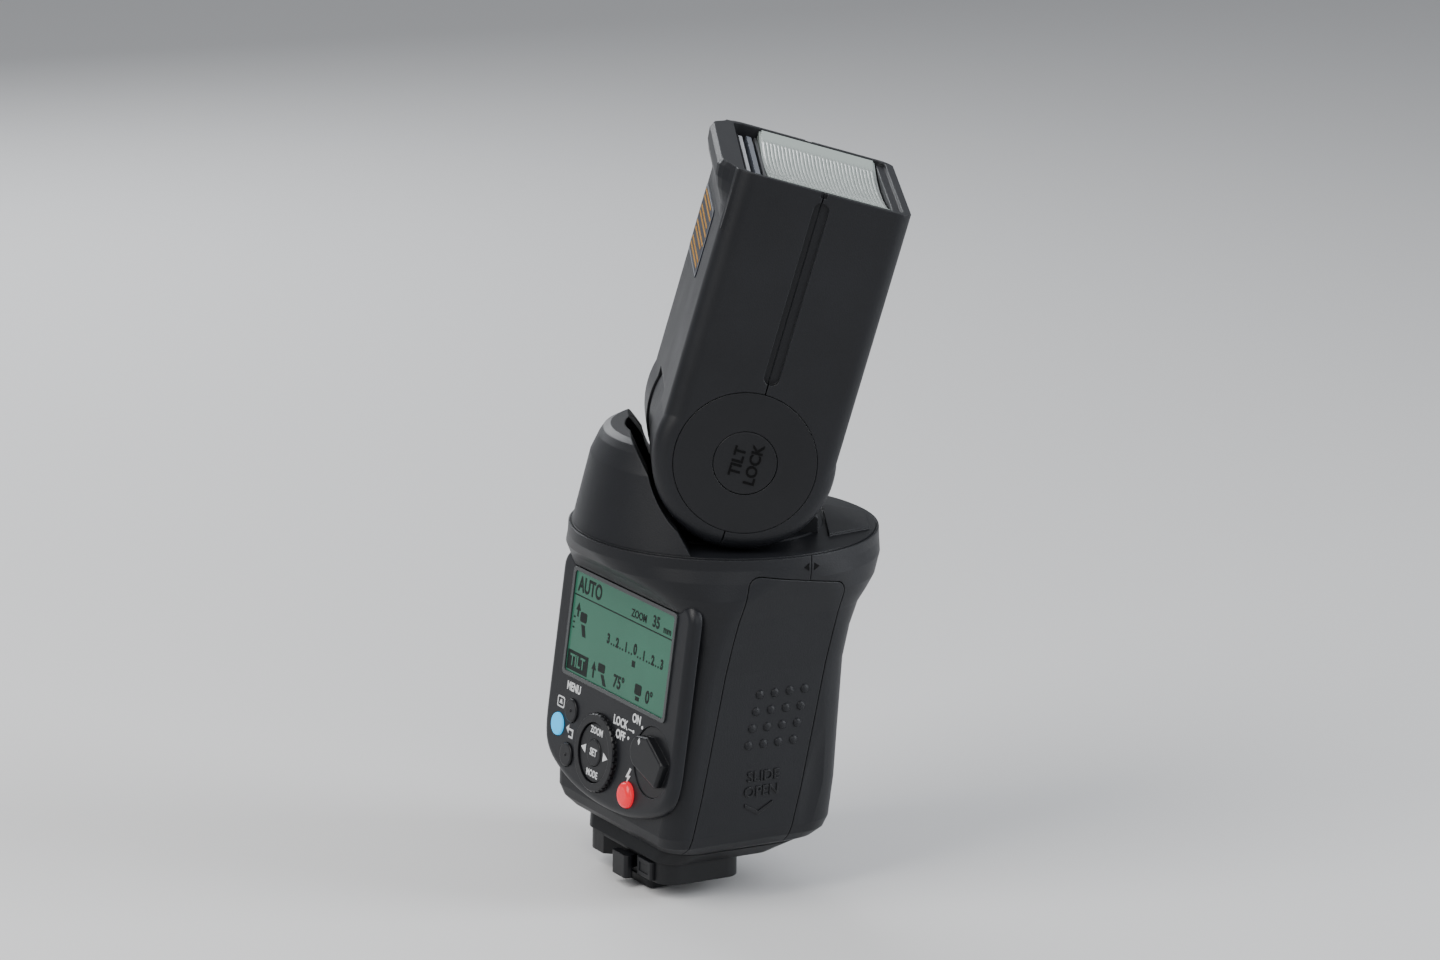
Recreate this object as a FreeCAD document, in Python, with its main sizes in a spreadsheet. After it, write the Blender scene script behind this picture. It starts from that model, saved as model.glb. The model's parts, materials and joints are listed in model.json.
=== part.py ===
import FreeCAD, Part
import math
import os
import Sketcher
from FreeCAD import Placement, Rotation, Vector

# Speedlight flash: shoe foot, battery base, swivelling turret and tilting head.
# Millimetres. The origin is the centre of the shoe foot's underside.
# +Z up, +Y forward (lens side), +X the battery-door side.
os.makedirs("parts", exist_ok=True)
doc = FreeCAD.newDocument("speedlight")

# ---------------------------------------------------------------- dimensions
DIMENSIONS = [
    ("foot_width", 18.6), ("foot_length", 18.0), ("foot_thick", 2.0), ("neck_width", 12.5),
    ("block_half", 19.5), ("block_depth", 11.0), ("block_bottom", 3.6), ("block_top", 9.0),
    ("shell_wall", 2.0), ("seam_y", 17.5), ("ring_radius", 37.3), ("ring_top", 86.6),
    ("deck_radius", 36.65), ("deck_low", 84.7), ("deck_high", 86.9),
    ("swivel_y", 15.0), ("swivel_rest", -27.5), ("tilt_rest", 75.0),
    ("pivot_y", 3.2), ("pivot_z", 109.2),
    ("panel_y", -13.13), ("panel_z", 59.57), ("panel_slope", 6.94), ("panel_thick", 2.6),
    ("panel_half", 32.2), ("lcd_half_w", 24.4), ("lcd_half_h", 12.5),
    ("blue_radius", 2.8), ("red_radius", 3.2), ("small_radius", 2.9),
    ("dial_radius", 9.55), ("pad_radius", 7.3), ("set_radius", 3.3), ("dial_height", 2.0),
    ("power_radius", 8.5), ("cell_radius", 7.1), ("cell_length", 50.3), ("door_slope", 9.54),
    ("door_half", 13.65), ("door_top", 30.4), ("door_gap", 0.25),
    ("hub_radius", 11.9), ("bearing_gap", 0.05), ("gear_module", 0.5),
    ("head_half_w", 33.2), ("head_half", 21.2), ("head_front", 66.8), ("head_round", 21.8),
    ("head_wall", 2.0), ("slot_half", 12.2), ("slot_radius", 22.6), ("neck_half", 11.9),
    ("neck_radius", 21.2), ("axle_radius", 3.0), ("cover_radius", 16.9), ("angle_radius", 7.6),
    ("board_thick", 1.6), ("rod_radius", 1.2), ("screw_radius", 1.0), ("screw_head", 1.9),
    ("tube_radius", 2.0),
]
sheet = doc.addObject("Spreadsheet::Sheet", "Dims")
for row, (name, value) in enumerate(DIMENSIONS, 1):
    sheet.set("A%d" % row, name)
    sheet.set("B%d" % row, repr(value))
    sheet.setAlias("B%d" % row, name)
doc.recompute()


def dim(name):
    return float(sheet.get(name))


def at(base, x, y, z, rotation=Rotation()):
    """Placement at x, y, z in the frame base."""
    return base.multiply(Placement(Vector(x, y, z), rotation))


X_AXIS, Y_AXIS, Z_AXIS = Vector(1, 0, 0), Vector(0, 1, 0), Vector(0, 0, 1)
SWIVEL_Y = dim("swivel_y")
PIVOT_Y, PIVOT_Z = dim("pivot_y"), dim("pivot_z")

# Frames. The panel's local z points out of its face and its local y points up its slope.
WORLD = Placement()
TURRET = at(WORLD, 0, SWIVEL_Y, 0, Rotation(Z_AXIS, dim("swivel_rest")))
PIVOT = at(TURRET, 0, PIVOT_Y, PIVOT_Z)
HEAD = at(PIVOT, 0, 0, 0, Rotation(X_AXIS, dim("tilt_rest")))
PANEL = at(WORLD, 0, dim("panel_y"), dim("panel_z"), Rotation(X_AXIS, 90 - dim("panel_slope")))
DOOR = at(WORLD, 0, 10.2, 50.9, Rotation(X_AXIS, -dim("door_slope")))
ALONG_X = Rotation(Y_AXIS, 90)
ALONG_Y = Rotation(X_AXIS, -90)

CORNER_MID = 1 - math.sqrt(0.5)  # inset of an arc's midpoint from its corner, per unit radius
subparts = []


# ------------------------------------------------------------------- helpers
def keep(obj, label, place):
    obj.Label = label
    obj.Placement = place
    subparts.append(obj)


def feat(label, shape, place=WORLD):
    obj = doc.addObject("Part::Feature", "F_" + label)
    if shape.ShapeType == "Compound" and len(shape.Solids) == 1:
        shape = shape.Solids[0]
    obj.Shape = shape
    keep(obj, label, place.multiply(shape.Placement))


def placed(shape, place):
    shape.Placement = place
    return shape


def box(x0, y0, z0, x1, y1, z1):
    return Part.makeBox(x1 - x0, y1 - y0, z1 - z0, Vector(x0, y0, z0))


def cyl(radius, start, axis, length):
    return Part.makeCylinder(radius, length, Vector(*start), axis)


def tube(outer_radius, inner_radius, start, axis, length):
    return cyl(outer_radius, start, axis, length).cut(cyl(inner_radius, start, axis, length))


def line(start, end):
    return Part.makeLine(Vector(*start), Vector(*end))


def arc(start, middle, end):
    return Part.Arc(Vector(*start), Vector(*middle), Vector(*end)).toShape()


def rrect(x0, y0, x1, y1, radius, z=0.0, rear_radius=None):
    """Rounded rectangle wire in the plane z; rear_radius applies to the corners at y0."""
    rear = radius if rear_radius is None else rear_radius
    # corner x, corner y, signed radius towards the inside in x and in y
    corners = [(x1, y0, -rear, rear), (x1, y1, -radius, -radius),
               (x0, y1, radius, -radius), (x0, y0, rear, rear)]
    last = (x0 + rear, y0, z)
    edges = []
    for i, (x, y, dx, dy) in enumerate(corners):
        ends = [(x + dx, y, z), (x, y + dy, z)]
        if i % 2:
            ends.reverse()
        edges.append(line(last, ends[0]))
        edges.append(arc(ends[0], (x + dx * CORNER_MID, y + dy * CORNER_MID, z), ends[1]))
        last = ends[1]
    return Part.Wire(edges)


def rprism(x0, y0, x1, y1, radius, z0, z1):
    return Part.Face(rrect(x0, y0, x1, y1, radius, z0)).extrude(Vector(0, 0, z1 - z0))


def outline(points):
    """Closed polygon wire through 3-D points."""
    return Part.makePolygon([Vector(*p) for p in points] + [Vector(*points[0])])


def prism(points, sweep):
    return Part.Face(outline(points)).extrude(Vector(*sweep))


def span(side, near, far):
    """Ascending x range of a feature on one side (-1 or 1) of the centre plane."""
    return sorted((side * near, side * far))


def soften(shape, radius, pick):
    """Fillet the edges that pick() accepts; the plain shape is kept if none."""
    edges = [e for e in shape.Edges if pick(e)]
    return shape.makeFillet(radius, edges) if edges else shape


def fuse(shape, *others):
    for other in others:
        shape = shape.fuse(other)
    return shape.removeSplitter()


def biggest(shape):
    return max(shape.Solids, key=lambda solid: solid.Volume)


def pd_sketch(label):
    """Body with an empty sketch on its XY plane."""
    body = doc.addObject("PartDesign::Body", "B_" + label)
    sketch = body.newObject("Sketcher::SketchObject", "S_" + label)
    plane = [f for f in body.Origin.OriginFeatures if f.Role == "XY_Plane"][0]
    sketch.AttachmentSupport = [(plane, "")]
    sketch.MapMode = "FlatFace"
    return body, sketch


def pd_pad(body, sketch, label, height):
    pad = body.newObject("PartDesign::Pad", "Pad_" + label)
    pad.Profile = sketch
    pad.setExpression("Length", height)
    doc.recompute()
    return pad


def pd_fillet(body, pad, label, radius, pick):
    names = ["Edge%d" % i for i, e in enumerate(pad.Shape.Edges, 1) if pick(e)]
    fillet = body.newObject("PartDesign::Fillet", "Fil_" + label)
    fillet.Base = (pad, names)
    fillet.setExpression("Radius", radius)
    doc.recompute()


def pd_plate(label, width, length, thick, place, corner=None):
    """Centred rectangular plate with optional round corners; sizes are expressions."""
    body, sketch = pd_sketch(label)
    points = [Vector(-5, -4, 0), Vector(5, -4, 0), Vector(5, 4, 0), Vector(-5, 4, 0)]
    for i in range(4):
        sketch.addGeometry(Part.LineSegment(points[i], points[(i + 1) % 4]), False)
    for i in range(4):
        sketch.addConstraint(Sketcher.Constraint("Coincident", i, 2, (i + 1) % 4, 1))
    for i, kind in enumerate(("Horizontal", "Vertical") * 2):
        sketch.addConstraint(Sketcher.Constraint(kind, i))
    sketch.addConstraint(Sketcher.Constraint("Symmetric", 0, 1, 2, 1, -1, 1))
    across = sketch.addConstraint(Sketcher.Constraint("DistanceX", 0, 1, 0, 2, 10.0))
    along = sketch.addConstraint(Sketcher.Constraint("DistanceY", 1, 1, 1, 2, 8.0))
    sketch.setExpression("Constraints[%d]" % across, width)
    sketch.setExpression("Constraints[%d]" % along, length)
    pad = pd_pad(body, sketch, label, thick)
    if corner:
        pd_fillet(body, pad, label, corner,
                  lambda e: abs(e.tangentAt(e.FirstParameter).z) > 0.99)
    keep(body, label, place)


def pd_disc(label, radius, height, place, top_round, bore=None):
    """Disc with a rounded outer top edge and an optional bore; sizes are expressions."""
    body, sketch = pd_sketch(label)
    for i, size in enumerate([radius, bore] if bore else [radius]):
        start_radius = 5.0 - 2 * i
        sketch.addGeometry(Part.Circle(Vector(0, 0, 0), Z_AXIS, start_radius), False)
        sketch.addConstraint(Sketcher.Constraint("Coincident", i, 3, -1, 1))
        index = sketch.addConstraint(Sketcher.Constraint("Radius", i, start_radius))
        sketch.setExpression("Constraints[%d]" % index, size)
    pad = pd_pad(body, sketch, label, height)
    bounds = pad.Shape.BoundBox

    def outer_top(e):
        return (abs(e.BoundBox.ZMin - bounds.ZMax) < 1e-6
                and abs(e.BoundBox.ZMax - bounds.ZMax) < 1e-6
                and abs(e.BoundBox.XLength / 2 - bounds.XLength / 2) < 1e-6)

    pd_fillet(body, pad, label, top_round, outer_top)
    keep(body, label, place)


def prim_cyl(label, radius, height, place):
    obj = doc.addObject("Part::Cylinder", "C_" + label)
    obj.setExpression("Radius", radius)
    obj.setExpression("Height", height)
    keep(obj, label, place)


def mesh_distance(teeth_a, teeth_b):
    return dim("gear_module") * (teeth_a + teeth_b) / 2


def gear(teeth, phase, width, bore=None):
    """Involute spur gear about the local z axis; phase is one tooth's direction in degrees."""
    module = dim("gear_module")
    thinning = 0.07  # taken off each flank at the pitch circle
    pitch = teeth * module / 2.0
    base = pitch * math.cos(math.radians(20))
    tip, root = pitch + 0.8 * module, pitch - 1.1 * module

    def involute(r):
        if r <= base:
            return 0.0
        pressure = math.acos(base / r)
        return math.tan(pressure) - pressure

    half = math.pi / (2 * teeth) - thinning / pitch
    low = max(base, root)
    radii = [low + (tip - low) * k / 3.0 for k in range(4)]
    flank = [(r, half + involute(pitch) - involute(r)) for r in radii]
    if root < base:
        flank.insert(0, (root, flank[0][1]))
    points = []
    for n in range(teeth):
        centre = math.radians(phase) + 2 * math.pi * n / teeth
        points += [(r, centre - w) for r, w in flank]
        points += [(r, centre + w) for r, w in reversed(flank)]
    face = Part.Face(outline([(r * math.cos(a), r * math.sin(a), 0) for r, a in points]))
    if bore:
        circle = Part.Circle(Vector(0, 0, 0), Z_AXIS, bore).toShape()
        face = face.cut(Part.Face(Part.Wire([circle])))
    return face.extrude(Vector(0, 0, width))


def screw(start, direction, length):
    """Slotted screw: start is the underside of the head, the shank runs along direction."""
    radius, head_radius, head_height = dim("screw_radius"), dim("screw_head"), 1.2
    axis = Vector(direction)
    solid = cyl(radius, start, axis, length)
    solid = solid.fuse(cyl(head_radius, start, axis * -1, head_height))
    slot = Part.makeBox(0.5, 2 * head_radius, 0.6, Vector(-0.25, -head_radius, 0))
    slot.Placement = Placement(Vector(*start) - axis * head_height, Rotation(Z_AXIS, axis))
    return solid.cut(slot).removeSplitter()


# =============================================================== base shells
WALL = dim("shell_wall")
RING = dim("ring_radius")
HUB = dim("hub_radius")
BASE_BOTTOM = 12.0
CEILING = 82.6  # top of the base cavity
# Sections: height, half-width, rear y, front y, front corner radius, rear corner radius.
BASE_SECTIONS = [
    (BASE_BOTTOM, 24.0, -10.0, 26.6, 8.0, 7.0),
    (13.4, 26.8, -12.8, 29.3, 8.0, 6.5),
    (15.4, 28.6, -14.6, 31.1, 8.0, 6.0),
    (18.0, 29.5, -15.3, 31.9, 8.0, 5.5),
    (28.0, 30.6, -14.4, 32.5, 8.0, 5.0),
    (40.0, 31.2, -12.9, 32.8, 8.0, 5.0),
    (58.0, 32.0, -10.7, 33.4, 8.0, 5.5),
    (66.0, 33.0, -9.8, 35.0, 9.0, 6.5),
    (71.4, 34.0, -10.6, 38.8, 14.0, 9.0),
    (74.2, 34.9, -12.4, 42.6, 18.5, 12.5),
    (77.0, 35.8, -15.0, 46.6, 24.0, 18.0),
    (81.0, 37.0, -20.6, 51.4, 33.5, 31.0),
    (84.0, RING + 0.1, SWIVEL_Y - RING - 0.1, SWIVEL_Y + RING + 0.1, RING - 0.3, RING - 0.3),
    (dim("ring_top"), RING, SWIVEL_Y - RING, SWIVEL_Y + RING, RING - 0.3, RING - 0.3),
]


def base_loft(inset, z_low, z_high):
    """Loft of the base between two heights, every section moved in by inset."""
    wires = []
    for z, half, rear, front, front_radius, rear_radius in BASE_SECTIONS:
        wires.append(rrect(-half + inset, rear + inset, half - inset, front - inset,
                           max(front_radius - inset, 1.0), z, max(rear_radius - inset, 1.0)))
    loft = Part.makeLoft(wires, True, True)
    return loft.common(box(-60, -60, z_low, 60, 90, z_high))


outer = base_loft(0.0, BASE_BOTTOM, dim("ring_top"))
shell = outer.cut(base_loft(WALL, 14.0, CEILING))
shell = shell.cut(cyl(dim("deck_radius") + 0.1, (0, SWIVEL_Y, dim("deck_low") - 0.1), Z_AXIS, 9))
shell = shell.cut(cyl(HUB + 0.75, (0, SWIVEL_Y, 80), Z_AXIS, 9))

# Battery door: a slab of the right wall between two edges that slope forward.
DOOR_HALF, DOOR_GAP = dim("door_half"), dim("door_gap")


def door_slab(x, gap, corner_radius):
    half, low, top = DOOR_HALF - gap, -48, dim("door_top") - gap
    slab = prism([(x, -half, low), (x, half, low), (x, half, top), (x, -half, top)], (25, 0, 0))
    slab.Placement = DOOR
    upper = [e for e in slab.Edges if len(e.Vertexes) == 2 and e.BoundBox.XLength > 20
             and e.BoundBox.YLength < 0.1 and e.BoundBox.ZMin > 60]
    return slab.makeFillet(corner_radius, upper)


door_opening = door_slab(25.0, 0, 3.0)
door_fit = door_slab(25.1, DOOR_GAP, 3.0 - DOOR_GAP)
skin = base_loft(WALL, 14.0, 86.0)
# A shallow valley runs down the door's front edge and widens towards the bottom.
valley = placed(Part.makeCone(13.5, 9.4, 54, Vector(42.0, 17.2, -42.0), Z_AXIS), DOOR)
shell = shell.cut(door_opening.cut(skin)).cut(valley)
feat("battery_door", biggest(outer.cut(skin).common(door_fit).cut(valley)))

# Red autofocus-assist window in the lower front.
WINDOW_HALF, WINDOW_LOW, WINDOW_HIGH, WINDOW_GAP = 25, 20.5, 36.5, 0.15
shell = shell.cut(box(-WINDOW_HALF, 27.5, WINDOW_LOW, WINDOW_HALF, 40, WINDOW_HIGH))
window_fit = box(-WINDOW_HALF + WINDOW_GAP, 27.6, WINDOW_LOW + WINDOW_GAP,
                 WINDOW_HALF - WINDOW_GAP, 40, WINDOW_HIGH - WINDOW_GAP)
window = outer.cut(base_loft(1.6, 14.0, CEILING)).common(window_fit)
feat("assist_window", biggest(window))

# Rear wall openings for the display module, the dial and the power lever.
LCD_HALF_W, LCD_HALF_H = dim("lcd_half_w"), dim("lcd_half_h")
LEVER_X, LEVER_Y = 21.4, -23.8
DIAL_X, DIAL_Y = -4.3, -28.2
POWER_RADIUS = dim("power_radius")
display_cut = box(-LCD_HALF_W - 1.1, -LCD_HALF_H - 1.1, -6, LCD_HALF_W + 1.1, LCD_HALF_H + 1.1, 3)
shell = shell.cut(placed(display_cut, PANEL))
for x, y, radius, z in ((DIAL_X, DIAL_Y, 2.2, -9), (LEVER_X, LEVER_Y, 2.2, -9),
                        (LEVER_X, LEVER_Y, POWER_RADIUS + 0.1, -2.15)):
    shell = shell.cut(placed(cyl(radius, (x, y, z), Z_AXIS, 12), PANEL))

# The shell parts into a front and a rear half with a narrow open seam.
SEAM_Y, SEAM_HALF = dim("seam_y"), 0.12
front_shell = biggest(shell.common(box(-60, SEAM_Y + SEAM_HALF, 0, 60, 90, 100)))
rear_shell = biggest(shell.common(box(-60, -60, 0, 60, SEAM_Y - SEAM_HALF, 100)))

# ============================================================ foot and block
BLOCK_HALF, BLOCK_DEPTH = dim("block_half"), dim("block_depth")
BLOCK_BOTTOM, BLOCK_TOP = dim("block_bottom"), dim("block_top")
LOCK_PIVOT_Y = 2.0
PIN_Y = 6.6


def lock_sector(radius, angle0, angle1, z_low, z_high):
    """Pie slice about the lock lever's pivot."""
    slice_ = Part.makeCylinder(radius, z_high - z_low, Vector(0, 0, 0), Z_AXIS, angle1 - angle0)
    return placed(slice_, at(WORLD, 0, LOCK_PIVOT_Y, z_low, Rotation(Z_AXIS, angle0)))


# Foot block: lower tier and the flared skirt under the body.
tier = rprism(-BLOCK_HALF, -BLOCK_DEPTH, BLOCK_HALF, BLOCK_DEPTH, 4.5, BLOCK_BOTTOM, BLOCK_TOP)
skirt = Part.makeLoft([rrect(-21.0, -11.6, 21.0, 20.0, 6.0, BLOCK_TOP),
                       rrect(-24.3, -10.4, 24.3, 26.8, 8.0, BASE_BOTTOM)], True, True)
block = fuse(tier, skirt)
# Pockets for the lever's swing and hub, the release button and the locking pin.
pocket_low, pocket_high = BLOCK_BOTTOM - 1, BLOCK_TOP - 0.8
block = block.cut(lock_sector(20.0, -129, -62, pocket_low, pocket_high))
block = block.cut(cyl(3.3, (0, LOCK_PIVOT_Y, pocket_low), Z_AXIS, pocket_high - pocket_low))
block = block.cut(box(7.9, -BLOCK_DEPTH - 3, BLOCK_BOTTOM + 0.4,
                      15.1, -BLOCK_DEPTH + 6.5, BLOCK_TOP - 0.4))
block = block.cut(cyl(1.3, (0, PIN_Y, 0), Z_AXIS, 9.0))
block = block.common(box(-60, -60, BLOCK_BOTTOM, 60, 90, BASE_BOTTOM))

# Four screws rise through the block into both shells.
FOOT_SCREWS = [(-13, -5), (13, -2.5), (-13, 8), (13, 8)]
FOOT_SEAT = BLOCK_BOTTOM + 1.4
for x, y in FOOT_SCREWS:
    block = block.cut(cyl(1.0, (x, y, 0), Z_AXIS, 14)).cut(cyl(1.95, (x, y, 0), Z_AXIS, FOOT_SEAT))
    front_shell = front_shell.cut(cyl(1.0, (x, y, 10), Z_AXIS, 6))
    rear_shell = rear_shell.cut(cyl(1.0, (x, y, 10), Z_AXIS, 6))
feat("foot_block", biggest(block))
feat("foot_screws", Part.makeCompound([screw((x, y, FOOT_SEAT), (0, 0, 1), 8.9)
                                       for x, y in FOOT_SCREWS]))
feat("front_shell", front_shell)
feat("rear_shell", rear_shell)

# Shoe plate: plate, neck, five contact holes and the pin hole.
half_w, half_l = dim("foot_width") / 2, dim("foot_length") / 2
neck_w, foot_thick = dim("neck_width") / 2, dim("foot_thick")
CONTACTS = [(0, 3.0), (-3.4, -1.6), (3.4, -1.6), (-3.4, -5.2), (3.4, -5.2)]
plate = rprism(-half_w, -half_l, half_w, half_l, 1.2, 0, foot_thick)
plate = fuse(plate, rprism(-neck_w, -half_l + 0.8, neck_w, half_l - 0.8, 1.0,
                           foot_thick - 0.5, BLOCK_BOTTOM))
for x, y in CONTACTS:
    plate = plate.cut(cyl(0.95, (x, y, -1), Z_AXIS, 6))
plate = plate.cut(cyl(1.25, (0, PIN_Y, -1), Z_AXIS, 9))
plate = soften(plate, 0.3, lambda e: e.BoundBox.ZMax < 1e-6 and e.BoundBox.XLength > 5)
feat("foot_plate", plate)
feat("shoe_contacts", Part.makeCompound([cyl(0.9, (x, y, 0.0), Z_AXIS, 3.5)
                                         for x, y in CONTACTS]))

# Lock lever: hub, tapered arm and the upright thumb bar behind the block.
LOCK_LOW, LOCK_HIGH = 4.4, 7.6
feat("lock_lever", fuse(cyl(3.2, (0, LOCK_PIVOT_Y, LOCK_LOW), Z_AXIS, 3.2),
                        lock_sector(15.0, -88, -70, LOCK_LOW, LOCK_HIGH),
                        rprism(-1.0, -14.1, 6.0, -11.7, 0.9, 2.3, 8.0)))
feat("locking_pin", cyl(1.2, (0, PIN_Y, 0.0), Z_AXIS, 7.5))

# Release button with a shallow recess in its rear face.
release = rprism(8.0, -BLOCK_DEPTH - 1.2, 15.0, -BLOCK_DEPTH + 4.6, 0.5,
                 BLOCK_BOTTOM + 0.5, BLOCK_TOP - 0.5)
release = release.cut(box(9.3, -BLOCK_DEPTH - 1.4, BLOCK_BOTTOM + 1.6,
                          13.7, -BLOCK_DEPTH - 0.95, BLOCK_TOP - 1.5))
feat("lock_release_button", release)

# ============================================================= control panel
PANEL_HALF, PANEL_THICK = dim("panel_half"), dim("panel_thick")
PANEL_TOP, PANEL_CORNER = 17.0, 5
PANEL_SHOULDER = -24.0  # where the straight sides meet the crowned bottom
DIAL_RADIUS, PAD_RADIUS = dim("dial_radius"), dim("pad_radius")
# Right half of the crowned bottom edge, from the side towards the middle: x, y.
CROWN = [(31.9, -27.6), (30.7, -31.6), (28.0, -34.6), (23.6, -36.9), (17.5, -38.9), (9.5, -40.3)]
# Buttons: name, x, y, radius alias, height, top rounding.
BUTTONS = [
    ("bounce_button", -24.6, -26.2, "blue_radius", "2.3", "0.4"),
    ("sub_menu_button", -18.6, -21.4, "small_radius", "2.3", "0.4"),
    ("back_button", -18.6, -32.4, "small_radius", "2.3", "0.4"),
    ("test_button", 12.0, -34.3, "red_radius", "3.3", "1.4"),
]


def panel_blank():
    """Panel slab with its outer face at z = 0 and its outer rim rounded."""
    half, top, inner_top = PANEL_HALF, PANEL_TOP, PANEL_TOP - PANEL_CORNER
    inner_x, mid = half - PANEL_CORNER, PANEL_CORNER * CORNER_MID
    bottom = [(half, PANEL_SHOULDER)] + CROWN + [(0, -40.8)]
    bottom += [(-x, y) for x, y in reversed(CROWN)] + [(-half, PANEL_SHOULDER)]
    curve = Part.BSplineCurve()
    curve.interpolate([Vector(x, y, 0) for x, y in bottom])
    edges = [
        curve.toShape(),
        line((-half, PANEL_SHOULDER, 0), (-half, inner_top, 0)),
        arc((-half, inner_top, 0), (-half + mid, top - mid, 0), (-inner_x, top, 0)),
        line((-inner_x, top, 0), (inner_x, top, 0)),
        arc((inner_x, top, 0), (half - mid, top - mid, 0), (half, inner_top, 0)),
        line((half, inner_top, 0), (half, PANEL_SHOULDER, 0)),
    ]
    blank = Part.Face(Part.Wire(edges)).extrude(Vector(0, 0, PANEL_THICK))
    blank.Placement = at(WORLD, 0, 0, -PANEL_THICK)
    return soften(blank, 2.2, lambda e: abs(e.BoundBox.ZMin) < 1e-6
                  and abs(e.BoundBox.ZMax) < 1e-6)


panel = panel_blank()
panel = panel.cut(rprism(-LCD_HALF_W - 0.05, -LCD_HALF_H - 0.05,
                         LCD_HALF_W + 0.05, LCD_HALF_H + 0.05, 0.8, -5, 2))
for name, x, y, alias, height, top_round in BUTTONS:
    panel = panel.cut(cyl(dim(alias) + 0.08, (x, y, -5), Z_AXIS, 8))
# The dial and the lever each get a round recess and a spindle hole.
for x, y, radius in ((DIAL_X, DIAL_Y, DIAL_RADIUS), (LEVER_X, LEVER_Y, POWER_RADIUS)):
    panel = panel.cut(cyl(radius + 0.08, (x, y, -2.1), Z_AXIS, 8))
    panel = panel.cut(cyl(2.05, (x, y, -6), Z_AXIS, 8))
# The base's outer surface trims the panel's inner side.
panel = biggest(panel.cut(placed(outer.copy(), PANEL.inverse())))
feat("control_panel", panel, PANEL)

pd_plate("lcd_window", "2 * <<Dims>>.lcd_half_w", "2 * <<Dims>>.lcd_half_h", "0.9",
         at(PANEL, 0, 0, -0.95), "0.85")
pd_plate("lcd_module", "2 * <<Dims>>.lcd_half_w - 0.4", "2 * <<Dims>>.lcd_half_h - 0.4", "3.8",
         at(PANEL, 0, 0, -4.8))
pd_plate("main_board", "52", "34", "<<Dims>>.board_thick", at(PANEL, 0, -3.5, -6.9), "2")
for name, x, y, alias, height, top_round in BUTTONS:
    pd_disc(name, "<<Dims>>." + alias, height, at(PANEL, x, y, -1.7), top_round)

# Select dial: knurled ring around a four-way pad and its centre button.
ring_height, notches = dim("dial_height") + 1.2, 36
ring = tube(DIAL_RADIUS, PAD_RADIUS + 0.1, (0, 0, 0), Z_AXIS, ring_height)
ring = ring.makeChamfer(0.35, [e for e in ring.Edges if e.BoundBox.ZMin > ring_height - 0.1
                               and e.BoundBox.XLength > 2 * DIAL_RADIUS - 0.1])
cuts = []
for k in range(notches):
    angle = 2 * math.pi * k / notches
    reach = DIAL_RADIUS + 0.12
    cuts.append(cyl(0.38, (reach * math.cos(angle), reach * math.sin(angle), 2.1), Z_AXIS, 4))
ring = ring.cut(Part.makeCompound(cuts))
feat("select_dial", biggest(ring), at(PANEL, DIAL_X, DIAL_Y, -2.0))
pad_place = at(PANEL, DIAL_X, DIAL_Y, -1.2)
pd_disc("select_pad", "<<Dims>>.pad_radius", "2.0", pad_place, "0.4",
        "<<Dims>>.set_radius + 0.08")
pd_disc("set_button", "<<Dims>>.set_radius", "2.3", pad_place, "0.4")

# Power lever: turning disc with a raised teardrop grip across it, and a short
# spindle behind that turns in the panel.
# Grip outline x, y: an arc joins the first two points, straight lines the rest.
GRIP = [(-5.2, -2.3, 0), (-5.5, 5.2, 0), (-0.5, 6.0, 0), (7.9, 1.2, 0), (5.6, -5.2, 0)]
lever = cyl(POWER_RADIUS, (0, 0, 0), Z_AXIS, 1.75).fuse(cyl(1.97, (0, 0, -1.3), Z_AXIS, 1.5))
grip_edges = [arc(GRIP[0], (-8.0, 1.3, 0), GRIP[1])]
grip_edges += [line(GRIP[k], GRIP[(k + 1) % 5]) for k in range(1, 5)]
grip = Part.Face(Part.Wire(grip_edges)).extrude(Vector(0, 0, 2.3))
grip.translate(Vector(0, 0, 1.6))
grip = soften(grip, 1.1, lambda e: e.BoundBox.ZLength > 2.2)
grip = soften(grip, 0.7, lambda e: e.BoundBox.ZMin > 3.85)
feat("power_lever", fuse(lever, grip), at(PANEL, LEVER_X, LEVER_Y, -2.0))

# ============================================================= base internals
# Door carriage strip, and an open-sided holder with the pack of four cells.
feat("door_carriage", box(26.3, DOOR_HALF - 1.6, -26.4, 27.6, DOOR_HALF + 0.6, 22.0), DOOR)
holder = box(-3.6, -15.4, -28.4, 26.0, 15.4, 24.6)
holder = holder.cut(box(-2.9, -14.7, -27.2, 30, 14.7, 23.4))
holder = holder.cut(box(26.0 - 0.1, -20, -40, 40, 20, 40))
feat("battery_holder", holder, DOOR)

CELLS = [(x, y) for x in (4.3, 18.7) for y in (-7.3, 7.3)]
CELL_BOTTOM, CELL_LENGTH = -26.6, dim("cell_length")
cells = []
for k, (x, y) in enumerate(CELLS):
    # Neighbouring cells stand opposite ways up.
    if k % 2 == 0:
        can_z, nub_z = CELL_BOTTOM, CELL_BOTTOM + CELL_LENGTH - 2.05
    else:
        can_z, nub_z = CELL_BOTTOM + 1.0, CELL_BOTTOM
    can = cyl(dim("cell_radius"), (x, y, can_z), Z_AXIS, CELL_LENGTH - 2.0)
    cells.append(can.fuse(cyl(2.0, (x, y, nub_z), Z_AXIS, 1.05)).removeSplitter())
feat("battery_cells", Part.makeCompound(cells), DOOR)
feat("battery_contacts", Part.makeCompound([
    box(x - 3.4, y - 3.4, low, x + 3.4, y + 3.4, high)
    for low, high in ((22.9, 23.35), (-27.15, -26.75)) for x, y in CELLS]), DOOR)

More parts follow.
